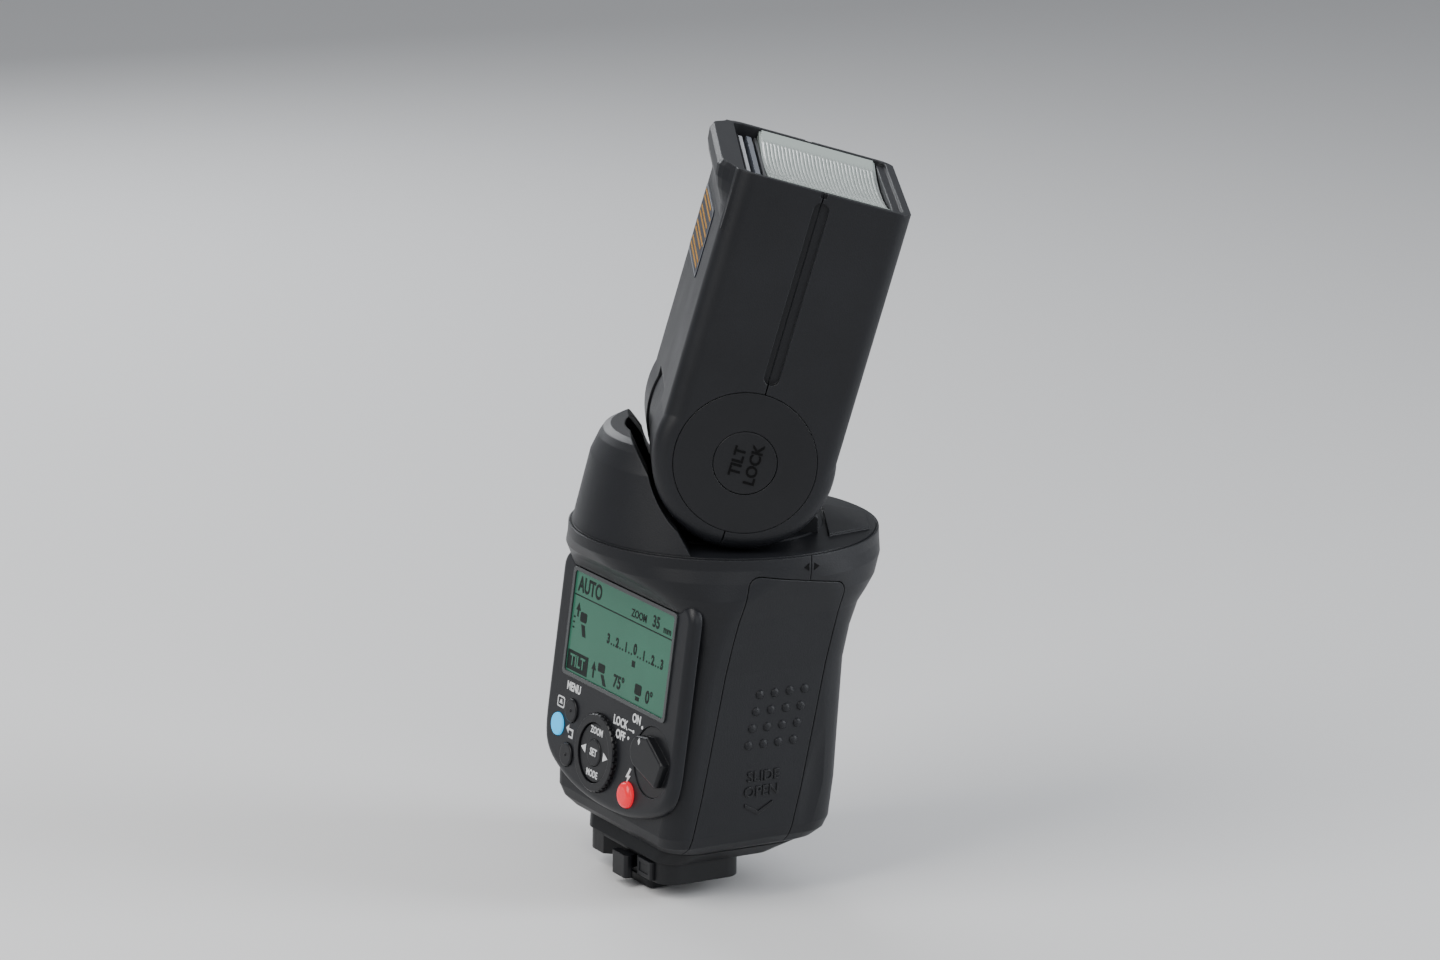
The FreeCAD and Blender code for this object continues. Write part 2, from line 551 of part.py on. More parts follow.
feat("assist_lamp_module", box(-6, 24.2, 22, 14, 27.4, 35))
prim_cyl("main_capacitor", "9.5", "42", at(WORLD, -16, 19, 17))
pd_plate("power_board", "22", "46", "<<Dims>>.board_thick",
         at(WORLD, -15.5, 6.6, 41, Rotation(X_AXIS, 90)), "1.5")

# Swivel drive: motor and pinion in the base, bearing ring in the top deck.
PINION_TEETH, SWIVEL_TEETH, TILT_TEETH = 12, 60, 48
PINION_PHASE = 180 / PINION_TEETH
swivel_x = -mesh_distance(PINION_TEETH, SWIVEL_TEETH)
feat("swivel_bearing_ring", tube(HUB + 0.74, HUB + dim("bearing_gap"),
                                 (0, SWIVEL_Y, CEILING), Z_AXIS, 2.0))
prim_cyl("swivel_motor", "5", "15.0", at(WORLD, swivel_x, SWIVEL_Y, 63.2))
feat("swivel_pinion", gear(PINION_TEETH, PINION_PHASE, 3.4), at(WORLD, swivel_x, SWIVEL_Y, 78.3))

# =================================================================== turret
DECK_LOW, DECK_HIGH = dim("deck_low"), dim("deck_high")
NECK_RADIUS, NECK_HALF = dim("neck_radius"), dim("neck_half")
NECK_REAR, NECK_FRONT, NECK_WALL = -17, 22, 1.6
HUB_BORE, HUB_LOW = 9.0, 78.5

# Deck: disc with a low raised centre, a front step, the neck's recess and a hollow hub.
deck = cyl(dim("deck_radius"), (0, 0, DECK_LOW), Z_AXIS, DECK_HIGH - DECK_LOW)
deck = deck.fuse(Part.makeCone(24.0, 23.6, 0.34, Vector(0, 0, DECK_HIGH - 0.02), Z_AXIS))
step = prism([(-15, 24.5, 85), (15, 24.5, 85), (7.5, 34.6, 85), (-7.5, 34.6, 85)], (0, 0, 2.65))
deck = deck.fuse(step).cut(box(-NECK_HALF - 0.05, NECK_REAR - 0.05, DECK_HIGH,
                               NECK_HALF + 0.05, NECK_FRONT + 0.05, 90))
deck = deck.fuse(tube(HUB, HUB_BORE, (0, 0, HUB_LOW), Z_AXIS, DECK_LOW - HUB_LOW + 0.5))
deck = deck.cut(cyl(HUB_BORE, (0, 0, 70), Z_AXIS, 30)).removeSplitter()
feat("turret_deck", deck, TURRET)
feat("swivel_gear", gear(SWIVEL_TEETH, -dim("swivel_rest"), 2.6, HUB), at(TURRET, 0, 0, 78.7))

# Rear wall: a tapered drum cut back so the head's top face clears it at full tilt.
FULL_TILT = math.radians(120)
TILT_NORMAL = Vector(0, -math.sin(FULL_TILT), math.cos(FULL_TILT))
CLEAR_DISTANCE = 21.95
# Drum profiles, radius and z: the outer face, and the lower-topped one used for the groove.
DRUM = [(36.5, DECK_HIGH), (32.4, 104.0), (30.4, 108.2), (29.3, 109.8), (27.6, 110.7)]
GROOVE_DRUM = [(36.5, DECK_HIGH), (32.4, 104.0), (30.4, 108.2), (29.3, 109.0), (27.6, 109.6)]


def drum_solid(profile, axis_top, inset=0):
    points = [(0, 0, DECK_HIGH)] + [(r - inset, 0, z) for r, z in profile] + [(0, 0, axis_top)]
    return Part.Face(outline(points)).revolve(Vector(0, 0, 0), Z_AXIS, 360)


def beyond(distance):
    """Everything farther from the pivot than the head's top face at full tilt."""
    block = Part.makeBox(200, 200, 200, Vector(-100, -100, 0))
    origin = Vector(0, PIVOT_Y, PIVOT_Z) + TILT_NORMAL * distance
    return placed(block, Placement(origin, Rotation(Z_AXIS, TILT_NORMAL)))


wall = drum_solid(DRUM, 110.8).common(beyond(CLEAR_DISTANCE))
wall = wall.cut(cyl(23.0, (-50, PIVOT_Y, PIVOT_Z), X_AXIS, 100))
wall = biggest(wall.common(tube(60, 24.1, (0, 0, 80), Z_AXIS, 60)))
# A fine groove follows the rim in the sloping cut face.
groove = drum_solid(GROOVE_DRUM, 109.7, 2.1).cut(drum_solid(GROOVE_DRUM, 109.7, 2.8))
groove = groove.cut(beyond(CLEAR_DISTANCE + 0.9)).cut(box(-60, -60, 80, 60, 60, DECK_HIGH + 1.2))
feat("turret_shell", biggest(wall.cut(groove)), TURRET)

# Neck: two half shells that carry the tilt axle inside the head's slot.
AXLE = dim("axle_radius")
NECK_SCREWS = [(-12.5, 93.5), (17.0, 91.0)]  # y, z
NECK_SEAT = NECK_HALF - 1.3


def neck_solid(radius, inset, x0, x1):
    drum = cyl(radius, (x0, PIVOT_Y, PIVOT_Z), X_AXIS, x1 - x0)
    rear, front, low = NECK_REAR + inset, NECK_FRONT - inset, DECK_HIGH + inset
    profile = [(rear, low), (front, low), (front, 90.5 - inset), (17 - inset, 96 - inset),
               (-15 + inset, 96 - inset), (rear, 92)]
    foot = prism([(x0, y, z) for y, z in profile], (x1 - x0, 0, 0))
    return drum.fuse(foot).removeSplitter()


def neck_shell(side):
    x0, x1 = span(side, 0, NECK_HALF)
    solid = neck_solid(NECK_RADIUS, 0, x0, x1)
    cavity = neck_solid(NECK_RADIUS - NECK_WALL, NECK_WALL, *span(side, 0, NECK_HALF - NECK_WALL))
    half = solid.cut(cavity)
    half = half.cut(cyl(AXLE + dim("bearing_gap"), (-50, PIVOT_Y, PIVOT_Z), X_AXIS, 100))
    for y, z in NECK_SCREWS:
        half = half.fuse(cyl(2.2, (x0, y, z), X_AXIS, NECK_HALF).common(solid))
    half = half.removeSplitter()
    for y, z in NECK_SCREWS:
        half = half.cut(cyl(1.0, (-50, y, z), X_AXIS, 100))
        if side > 0:
            half = half.cut(cyl(1.95, (NECK_SEAT, y, z), X_AXIS, 5))
    return biggest(half)


feat("neck_shell_left", neck_shell(-1), TURRET)
feat("neck_shell_right", neck_shell(1), TURRET)
feat("neck_screws", Part.makeCompound([screw((NECK_SEAT, y, z), (-1, 0, 0), 20.0)
                                       for y, z in NECK_SCREWS]), TURRET)

# Tilt drive: motor along the axle direction, pinion under the tilt gear.
tilt_z = -mesh_distance(PINION_TEETH, TILT_TEETH)
prim_cyl("tilt_motor", "3.6", "7", at(PIVOT, 3.0, 0, tilt_z, ALONG_X))
feat("tilt_pinion", gear(PINION_TEETH, PINION_PHASE, 4.6), at(PIVOT, -1.7, 0, tilt_z, ALONG_X))
feat("tilt_gear", gear(TILT_TEETH, 0.0, 3.0, AXLE), at(PIVOT, -1.5, 0, 0, ALONG_X))

# ===================================================================== head
# Head frame: origin on the tilt axle, +Y towards the window, +Z the top face.
HALF_W, HALF_H, FRONT = dim("head_half_w"), dim("head_half"), dim("head_front")
ROUND, HEAD_WALL, SLOT_HALF = dim("head_round"), dim("head_wall"), dim("slot_half")
INNER_W, INNER_H = HALF_W - HEAD_WALL, HALF_H - HEAD_WALL
HEAD_SCREWS = [(x, y) for y in (-9.0, 19.0) for x in (-26.5, 26.5)]
HEAD_SEAT = -16.8
# Hood section: y, z above the head's top, share of the hood's rise.
HOOD = [(52.0, -2, 0), (52.0, -0.3, 0), (56.5, -0.35, 1.0), (60.0, -0.35, 2.9),
        (62.6, -0.35, 3.9), (65.4, -0.35, 4.2), (FRONT, -0.35, 3.6), (FRONT, -2, 0)]
HOOD_RISE = [0.0, 0.1, 0.35, 0.65, 0.9, 1.0]  # from a side inwards


def head_hood():
    """Raised lip over the window, falling away to the two sides."""
    stations = [(-HALF_W + 1.6 + 9.0 * i / 5.0, k) for i, k in enumerate(HOOD_RISE)]
    stations += [(-x, k) for x, k in reversed(stations)]
    wires = [outline([(x, y, HALF_H + z + rise * k) for y, z, rise in HOOD])
             for x, k in stations]
    return Part.makeLoft(wires, True, True)


def head_outer():
    body = box(-HALF_W, 0, -HALF_H, HALF_W, FRONT, HALF_H)
    body = body.makeFillet(5.0, [e for e in body.Edges if e.BoundBox.YLength > 50
                                 and e.BoundBox.ZMin > 0])
    body = body.makeFillet(3.6, [e for e in body.Edges if e.BoundBox.YLength > 50
                                 and e.BoundBox.ZMax < -HALF_H + 1e-3
                                 and e.BoundBox.XLength < 1e-3])
    barrel = cyl(ROUND, (-HALF_W, 0, 0), X_AXIS, 2 * HALF_W)
    barrel = barrel.makeFillet(4.4, [e for e in barrel.Edges if e.BoundBox.XLength < 1e-6])
    return body.fuse(barrel).fuse(head_hood()).removeSplitter()


def head_cavity():
    cavity = box(-INNER_W, 28, -INNER_H, INNER_W, FRONT + 5, INNER_H)
    cavity = cavity.makeFillet(2.5, [e for e in cavity.Edges if e.BoundBox.YLength > 30])
    for side in (-1, 1):
        x0, x1 = span(side, 14.2, INNER_W)
        cavity = cavity.fuse(cyl(ROUND - HEAD_WALL - 0.4, (x0, 0, 0), X_AXIS, x1 - x0))
        cavity = cavity.fuse(box(x0, 0, -INNER_H, x1, 30, INNER_H))
    return cavity


def cut_side(shell, side):
    """Side grooves along the seam, a shallow long recess and the pivot cover's hole."""
    x0, x1 = span(side, HALF_W - 0.9, HALF_W + 3)
    shell = shell.cut(box(x0, 65.6, -0.8, x1, 80, 0.8)).cut(box(x0, 15.5, -0.17, x1, 80, 0.17))
    shell = shell.cut(box(x0, -30, -0.17, x1, -16.5, 0.17))
    x0, x1 = span(side, HALF_W - 1.2, HALF_W + 3)
    # The matrix turns local x, y, z into y, z, x.
    turn = FreeCAD.Matrix(0, 0, 1, x0, 1, 0, 0, 0, 0, 1, 0, 0, 0, 0, 0, 1)
    recess = rprism(19.5, -2.2, 64.4, 1.5, 1.8, 0, x1 - x0).transformGeometry(turn)
    shell = shell.cut(recess)
    x0, x1 = span(side, INNER_W - 0.5, HALF_W + 1)
    return shell.cut(cyl(dim("cover_radius") + 0.15, (x0, 0, 0), X_AXIS, x1 - x0))


def head_shell():
    solid = head_outer()
    shell = solid.cut(head_cavity())
    # Slot for the neck.
    shell = shell.cut(cyl(dim("slot_radius"), (-SLOT_HALF, 0, 0), X_AXIS, 2 * SLOT_HALF))
    shell = shell.cut(box(-SLOT_HALF, 0, -30, SLOT_HALF, 24.0, -13.5))
    # Sill under the window.
    shell = shell.fuse(box(-INNER_W - 0.1, 60.5, -INNER_H - 0.1, INNER_W + 0.1, 66.0, -17.1))
    for side in (-1, 1):
        shell = cut_side(shell, side)
    shell = shell.cut(cyl(AXLE, (-20, 0, 0), X_AXIS, 40))
    for x, y in HEAD_SCREWS:
        shell = shell.fuse(cyl(2.6, (x, y, -19.0), Z_AXIS, 37.0).common(solid))
    shell = shell.removeSplitter()
    for x, y in HEAD_SCREWS:
        shell = shell.cut(cyl(1.0, (x, y, -30), Z_AXIS, 36))
        shell = shell.cut(cyl(2.0, (x, y, -40), Z_AXIS, 40 + HEAD_SEAT))
    return shell


head = head_shell()
feat("head_upper_shell", biggest(head.common(box(-80, -80, 0.04, 80, 90, 60))), HEAD)
feat("head_lower_shell", biggest(head.common(box(-80, -80, -60, 80, 90, -0.04))), HEAD)
feat("head_screws", Part.makeCompound([screw((x, y, HEAD_SEAT), (0, 0, 1), 22.0)
                                       for x, y in HEAD_SCREWS]), HEAD)

# Axle, pivot covers and the round buttons inside them.
prim_cyl("tilt_axle", "<<Dims>>.axle_radius", "56", at(HEAD, -28, 0, 0, ALONG_X))
covers = []
for side in (-1, 1):
    x0, x1 = span(side, INNER_W + 0.1, INNER_W + 2.1)
    covers.append(tube(dim("cover_radius"), dim("angle_radius") + 0.08, (x0, 0, 0), X_AXIS, 2.0))
feat("pivot_covers", Part.makeCompound(covers), HEAD)
for side, name in ((-1, "left"), (1, "right")):
    pd_disc("angle_button_" + name, "<<Dims>>.angle_radius", "3.0",
            at(HEAD, side * (INNER_W - 0.9), 0, 0, Rotation(Y_AXIS, 90 * side)), "0.35")

# Window: a thin pane bowed inward at the middle.
PANE_HALF, PANE_THICK = 30.9, 1.6
inner_y, outer_y = 64.6, 64.6 + PANE_THICK
pane = Part.Face(Part.Wire([
    arc((-PANE_HALF, inner_y, 0), (0, 62.7, 0), (PANE_HALF, inner_y, 0)),
    line((PANE_HALF, inner_y, 0), (PANE_HALF, outer_y, 0)),
    arc((-PANE_HALF, outer_y, 0), (0, 62.7 + PANE_THICK, 0), (PANE_HALF, outer_y, 0)),
    line((-PANE_HALF, outer_y, 0), (-PANE_HALF, inner_y, 0)),
])).extrude(Vector(0, 0, 29.2))
pane.translate(Vector(0, 0, -16.7))
feat("fresnel_window", pane, HEAD)

# Pull-out panels and the tray below them.
pd_plate("panel_tray", "61.6", "34", "0.6", at(HEAD, 0, 47.5, 12.7), "1")
pd_plate("catchlight_panel", "50", "36", "0.9", at(HEAD, 0, 47.2, 16.9), "2")
pd_plate("wide_panel", "52", "36", "1.2", at(HEAD, 0, 47.4, 14.6), "2")

# Zoom carriage: open frame with a nut lug, on two rods and a screw.
ROD, ROD_XS, ROD_Z = dim("rod_radius"), (-27.8, 27.8), -9.0
ZOOM_X, ZOOM_Z = 20.0, -16.2
carriage = box(-29.8, 30.0, -12.0, 29.8, 32.0, 9.5).cut(box(-20, 29, -6, 20, 33, 5))
carriage = carriage.fuse(box(17.4, 30.0, -18.6, 22.6, 33.0, -11.5)).removeSplitter()
for x in ROD_XS:
    carriage = carriage.cut(cyl(ROD + 0.05, (x, 0, ROD_Z), Y_AXIS, 60))
carriage = carriage.cut(cyl(1.55, (ZOOM_X, 0, ZOOM_Z), Y_AXIS, 60))
feat("zoom_carriage", carriage, HEAD)
feat("zoom_guide_rods", Part.makeCompound([cyl(ROD, (x, 28.0, ROD_Z), Y_AXIS, 33.5)
                                           for x in ROD_XS]), HEAD)
prim_cyl("zoom_screw", "1.5", "45.6", at(HEAD, ZOOM_X, 14.5, ZOOM_Z, ALONG_Y))
prim_cyl("zoom_motor", "2.6", "9", at(HEAD, ZOOM_X, 5.3, ZOOM_Z, ALONG_Y))


# Reflector: a flared box, open at the front, around the flash tube.
def flare(*sections):
    """Loft of rectangles given as half-width, y, low z, high z."""
    return Part.makeLoft([outline([(-half, y, low), (half, y, low), (half, y, high),
                                   (-half, y, high)])
                          for half, y, low, high in sections], True, True)


feat("reflector", flare((20, 32.0, -6, 5), (25, 47.0, -13, 11)).cut(
    flare((19, 33.0, -5, 4), (24.2, 47.2, -12.2, 10.2))), HEAD)
prim_cyl("flash_tube", "<<Dims>>.tube_radius", "36", at(HEAD, -18, 36.2, -0.5, ALONG_X))
pd_plate("top_label", "37.0", "17.0", "0.22", at(HEAD, -8.5, 43.2, HALF_H), "2")

# -------------------------------------------------------------- check, write
doc.recompute()
bad = [o.Name for o in doc.Objects if "Invalid" in o.State or "Error" in o.State]
for obj in subparts:
    if obj.Shape.isNull() or not obj.Shape.isValid() or not obj.Shape.Solids:
        bad.append(obj.Label)
if bad:
    raise RuntimeError("failed objects: " + ", ".join(bad))
for obj in subparts:
    obj.Shape.exportStep("parts/%s.step" % obj.Label)
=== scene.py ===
# A hot-shoe flash, standing upright with +Z up. The rear control panel faces -Y and the
# battery door is on the right, at +X. The head is turned 27.5 degrees about Z and tilted up
# 75 degrees. The CAD pieces are loaded; this script adds small parts, materials and a stage.
# Lengths are millimetres unless a comment says metres; MM turns them into metres.
import bpy, bmesh, json, math
from mathutils import Matrix, Vector
from mathutils.bvhtree import BVHTree


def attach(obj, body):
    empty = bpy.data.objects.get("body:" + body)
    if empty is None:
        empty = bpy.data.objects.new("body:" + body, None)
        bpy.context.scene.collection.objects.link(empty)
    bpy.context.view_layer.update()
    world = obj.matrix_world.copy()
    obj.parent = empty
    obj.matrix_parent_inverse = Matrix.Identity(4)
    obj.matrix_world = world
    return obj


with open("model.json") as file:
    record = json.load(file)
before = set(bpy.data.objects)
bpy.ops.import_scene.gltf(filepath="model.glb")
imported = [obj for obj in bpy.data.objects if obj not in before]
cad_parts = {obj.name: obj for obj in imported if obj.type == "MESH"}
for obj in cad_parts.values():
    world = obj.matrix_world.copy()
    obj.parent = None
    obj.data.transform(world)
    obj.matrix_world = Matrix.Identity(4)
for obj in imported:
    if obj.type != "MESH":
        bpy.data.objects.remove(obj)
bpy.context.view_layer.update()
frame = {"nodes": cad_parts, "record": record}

nodes = frame["nodes"]
MM = 0.001


# ------------------------------------------------------------ local frames
def rotate(axis, degrees):
    return Matrix.Rotation(math.radians(degrees), 4, axis)


def shift(x, y, z):
    return Matrix.Translation(Vector((x, y, z)) * MM)


# Head: x across, y towards the window, z out of the label face
HEAD = shift(0, 15, 0) @ rotate("Z", -27.5) @ shift(0, 3.2, 109.2) @ rotate("X", 75)
# Rear panel: x to the right, y up, z out of the panel
PANEL = shift(0, -13.13, 59.57) @ rotate("X", 90 - 6.94)
# Side faces: local x along +Y or -Y, local y up, local z outwards
RIGHT_SIDE = Matrix(((0, 0, 1, 0), (1, 0, 0, 0), (0, 1, 0, 0), (0, 0, 0, 1)))
LEFT_SIDE = Matrix(((0, 0, -1, 0), (-1, 0, 0, 0), (0, 1, 0, 0), (0, 0, 0, 1)))


# --------------------------------------------------------------- materials
def set_inputs(node, inputs):
    """Link each socket given; store any other value as the input's default."""
    for key, value in inputs.items():
        if isinstance(value, bpy.types.NodeSocket):
            node.id_data.links.new(value, node.inputs[key])
        else:
            node.inputs[key].default_value = value


def add_node(tree, kind, inputs, **settings):
    node = tree.nodes.new("ShaderNode" + kind)
    for key, value in settings.items():
        setattr(node, key, value)
    set_inputs(node, inputs)
    return node


def mix_colours(tree, factor, first, second):
    # In colour mode a Mix node uses inputs 6 and 7, and output 2
    node = add_node(tree, "Mix", {}, data_type="RGBA")
    set_inputs(node, {0: factor, 6: first, 7: second})
    return node.outputs[2]


def new_material(name):
    material = bpy.data.materials.new(name)
    material.use_nodes = True
    tree = material.node_tree
    tree.nodes.clear()
    output = tree.nodes.new("ShaderNodeOutputMaterial")
    shader = tree.nodes.new("ShaderNodeBsdfPrincipled")
    tree.links.new(shader.outputs[0], output.inputs[0])
    return material, tree, shader


MOTTLE = {"Scale": 55, "Detail": 5}      # broad noise for colour and roughness
GRAIN_DETAIL = 3
GRAIN_DEPTH = 0.00012                    # metres
WEAR_START, WEAR_FULL = 0.995, 0.86      # rounded normal dot true normal
SMOOTHER, ROUGHER = 0.07, 0.09           # roughness swing each way


def surface_material(name, colour, roughness, grain, bump, variation, bevel, wear, specular,
                     extra=None):
    material, tree, shader = new_material(name)
    coords = add_node(tree, "TexCoord", {}).outputs["Object"]
    fine = add_node(tree, "TexNoise",
                    {"Scale": grain, "Detail": GRAIN_DETAIL, "Vector": coords}).outputs["Fac"]
    broad = add_node(tree, "TexNoise", {**MOTTLE, "Vector": coords}).outputs["Fac"]
    darker = [c * (1 - variation) for c in colour] + [1]
    lighter = [min(1, c * (1 + variation) + 0.0008) for c in colour] + [1]
    mottled = mix_colours(tree, broad, darker, lighter)

    # Edges are worn lighter where the rounded normal leaves the true one
    rounded = add_node(tree, "Bevel", {"Radius": bevel * MM}, samples=4).outputs[0]
    true_normal = add_node(tree, "NewGeometry", {}).outputs["Normal"]
    agreement = add_node(tree, "VectorMath", {0: rounded, 1: true_normal},
                         operation="DOT_PRODUCT").outputs["Value"]
    edge = add_node(tree, "MapRange", {
        "Value": agreement, "From Min": WEAR_START, "From Max": WEAR_FULL,
        "To Min": 0.0, "To Max": wear}).outputs[0]
    worn = [min(1, c * 2.2 + 0.02) for c in colour] + [1]
    base = mix_colours(tree, edge, mottled, worn)

    normal = add_node(tree, "Bump", {"Strength": bump, "Distance": GRAIN_DEPTH,
                                     "Height": fine, "Normal": rounded}).outputs[0]
    rough = add_node(tree, "MapRange", {
        "Value": broad, "To Min": roughness - SMOOTHER,
        "To Max": roughness + ROUGHER}).outputs[0]
    set_inputs(shader, {"Base Color": base, "Normal": normal, "Roughness": rough,
                        "Specular IOR Level": specular, **(extra or {})})
    material.diffuse_color = list(colour) + [1]
    return material


def glow(colour, strength):
    return {"Emission Color": (*colour, 1), "Emission Strength": strength}


METAL = {"Metallic": 1.0}
# key: colour, roughness, grain noise scale, bump strength, colour variation,
#      edge rounding in mm, edge wear, specular level, other shader inputs
SURFACES = {
    "body_plastic": ((0.0070, 0.0076, 0.0096), 0.44, 2600, 0.30, 0.22, 0.45, 0.3, 0.27),
    "control_plastic": ((0.0058, 0.0062, 0.0078), 0.34, 3200, 0.12, 0.2, 0.25, 0.35, 0.28),
    "panel_plastic": ((0.0078, 0.0085, 0.0108), 0.38, 3000, 0.16, 0.2, 0.4, 0.3, 0.27),
    "foot_plastic": ((0.006, 0.0064, 0.0075), 0.40, 2400, 0.2, 0.2, 0.4, 0.3, 0.27),
    "lcd": ((0.022, 0.088, 0.058), 0.22, 900, 0.01, 0.22, 0.2, 0.2, 0.2,
            {**glow((0.030, 0.140, 0.088), 0.30), "Coat Weight": 0.15, "Coat Roughness": 0.08}),
    "lcd_ink": ((0.0012, 0.006, 0.004), 0.4, 900, 0.01, 0.1, 0.05, 0, 0.2),
    "lcd_frame": ((0.032, 0.036, 0.038), 0.22, 1500, 0.03, 0.2, 0.15, 0.35, 0.5),
    "blue_light": ((0.01, 0.28, 0.50), 0.35, 900, 0.02, 0.12, 0.2, 0.1, 0.2,
                   glow((0.015, 0.45, 0.92), 1.05)),
    "red_light": ((0.45, 0.004, 0.010), 0.24, 900, 0.02, 0.15, 0.2, 0.1, 0.25,
                  {**glow((1.0, 0.010, 0.035), 0.65), "Coat Weight": 0.25}),
    "red_window": ((0.060, 0.0015, 0.0025), 0.16, 900, 0.01, 0.2, 0.3, 0.15, 0.25,
                   {"Coat Weight": 0.15}),
    "window": ((0.36, 0.41, 0.385), 0.20, 1400, 0.01, 0.05, 0.15, 0.1, 0.5,
               {"Coat Weight": 0.5}),
    "clear_panel": ((0.16, 0.18, 0.22), 0.14, 900, 0.01, 0.08, 0.2, 0.3, 0.5,
                    {"Transmission Weight": 0.4}),
    "white_panel": ((0.40, 0.41, 0.43), 0.35, 1500, 0.02, 0.05, 0.2, 0.1, 0.5),
    "label": ((0.006, 0.009, 0.020), 0.42, 2500, 0.03, 0.15, 0.1, 0.1, 0.18),
    "amber": ((0.42, 0.20, 0.010), 0.45, 2500, 0.02, 0.1, 0.05, 0, 0.15),
    "print_white": ((0.62, 0.63, 0.64), 0.5, 4000, 0.05, 0.08, 0.03, 0, 0.5),
    "print_dark": ((0.0015, 0.0015, 0.0018), 0.6, 4000, 0.05, 0.1, 0.03, 0, 0.1),
    "print_grey": ((0.20, 0.21, 0.22), 0.5, 4000, 0.05, 0.1, 0.03, 0, 0.5),
    "steel": ((0.52, 0.53, 0.55), 0.30, 3500, 0.06, 0.12, 0.2, 0.35, 0.5, METAL),
    "gold": ((0.80, 0.58, 0.24), 0.25, 3500, 0.05, 0.12, 0.2, 0.35, 0.5, METAL),
    "board": ((0.015, 0.09, 0.04), 0.4, 700, 0.2, 0.4, 0.1, 0.35, 0.5),
    "inner_plastic": ((0.05, 0.052, 0.055), 0.5, 1800, 0.15, 0.2, 0.3, 0.35, 0.5),
    "gear_plastic": ((0.62, 0.60, 0.54), 0.45, 1800, 0.06, 0.1, 0.15, 0.35, 0.5),
    "reflector": ((0.75, 0.76, 0.78), 0.12, 800, 0.04, 0.08, 0.2, 0.35, 0.5, METAL),
    "tube_glass": ((0.85, 0.9, 0.95), 0.05, 800, 0.0, 0.03, 0.1, 0, 0.5,
                   {"Transmission Weight": 0.8}),
    "cell": ((0.03, 0.10, 0.16), 0.3, 1500, 0.03, 0.2, 0.3, 0.35, 0.5),
    "capacitor": ((0.02, 0.02, 0.022), 0.25, 1500, 0.03, 0.2, 0.3, 0.35, 0.5),
}
# Materials whose name differs from their key
FULL_NAMES = {"lcd": "lcd_green", "reflector": "reflector_metal"}
materials = {key: surface_material(FULL_NAMES.get(key, key), *values)
             for key, values in SURFACES.items()}

slot_of = {part["node"]: part["material_slot"] for part in frame["record"]["subparts"]}
for node_name, piece in nodes.items():
    piece.data.materials.clear()
    piece.data.materials.append(materials[slot_of[node_name]])
    for polygon in piece.data.polygons:
        polygon.material_index = 0


# ------------------------------------------------------------ mesh helpers
def add(name, mesh, body, material):
    mesh.name = name
    piece = bpy.data.objects.new(name, mesh)
    bpy.context.scene.collection.objects.link(piece)
    mesh.materials.clear()
    mesh.materials.append(materials[material])
    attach(piece, body)


def make_mesh(verts, faces, matrix, smooth_angle=None):
    mesh = bpy.data.meshes.new("part")
    mesh.from_pydata([matrix @ (Vector(v) * MM) for v in verts], [], faces)
    bm = bmesh.new()
    bm.from_mesh(mesh)
    bmesh.ops.recalc_face_normals(bm, faces=bm.faces)
    bm.to_mesh(mesh)
    bm.free()
    if smooth_angle is not None:
        for polygon in mesh.polygons:
            polygon.use_smooth = True
        mesh.set_sharp_from_angle(angle=math.radians(smooth_angle))
    mesh.update()
    return mesh


def slab(outline, z0, z1, matrix, inner=None):
    """Closed prism of an outline; inner is the outline of a hole, with as many points."""
    n = len(outline)
    steps = [(i, (i + 1) % n) for i in range(n)]
    verts = [(x, y, z) for z in (z0, z1) for ring in (outline, inner or []) for x, y in ring]
    if inner is None:
        faces = [list(range(n)), [n + i for i in range(n)]]
        faces += [[i, j, n + j, n + i] for i, j in steps]
    else:
        faces = []
        for i, j in steps:
            faces += [[i, j, n + j, n + i],
                      [2 * n + i, 2 * n + j, 3 * n + j, 3 * n + i],
                      [i, j, 2 * n + j, 2 * n + i],
                      [n + i, n + j, 3 * n + j, 3 * n + i]]
    return make_mesh(verts, faces, matrix)


def rect(x0, y0, x1, y1):
    return [(x0, y0), (x1, y0), (x1, y1), (x0, y1)]


def rounded_rect(x0, y0, x1, y1, radius, segments=5):
    points = []
    for cx, cy, start in ((x1 - radius, y0 + radius, -90), (x1 - radius, y1 - radius, 0),
                          (x0 + radius, y1 - radius, 90), (x0 + radius, y0 + radius, 180)):
        for i in range(segments + 1):
            angle = math.radians(start + 90 * i / segments)
            points.append((cx + radius * math.cos(angle), cy + radius * math.sin(angle)))
    return points


def rect_ring(x0, y0, x1, y1, radius, width, inner_radius, z0, z1, matrix):
    hole = rounded_rect(x0 + width, y0 + width, x1 - width, y1 - width, inner_radius)
    return slab(rounded_rect(x0, y0, x1, y1, radius), z0, z1, matrix, hole)


def circle(cx, cy, radius, segments):
    angles = [2 * math.pi * i / segments for i in range(segments)]
    return [(cx + radius * math.cos(a), cy + radius * math.sin(a)) for a in angles]


def text(word, x, y, z, size, matrix, thick, bold=0.0, width=1.0):
    """Raised word centred on x, y, z; width stretches the letters sideways."""
    curve = bpy.data.curves.new("text", "FONT")
    curve.body = word
    curve.size = size * MM
    curve.extrude = thick * MM / 2
    curve.offset = bold * MM
    curve.align_x = "CENTER"
    curve.align_y = "CENTER"
    curve.resolution_u = 3
    holder = bpy.data.objects.new("text", curve)
    bpy.context.scene.collection.objects.link(holder)
    bpy.context.view_layer.update()
    graph = bpy.context.evaluated_depsgraph_get()
    mesh = bpy.data.meshes.new_from_object(holder.evaluated_get(graph))
    bpy.data.objects.remove(holder)
    mesh.transform(matrix @ shift(x, y, z) @ Matrix.Diagonal((width, 1, 1, 1)))
    return mesh


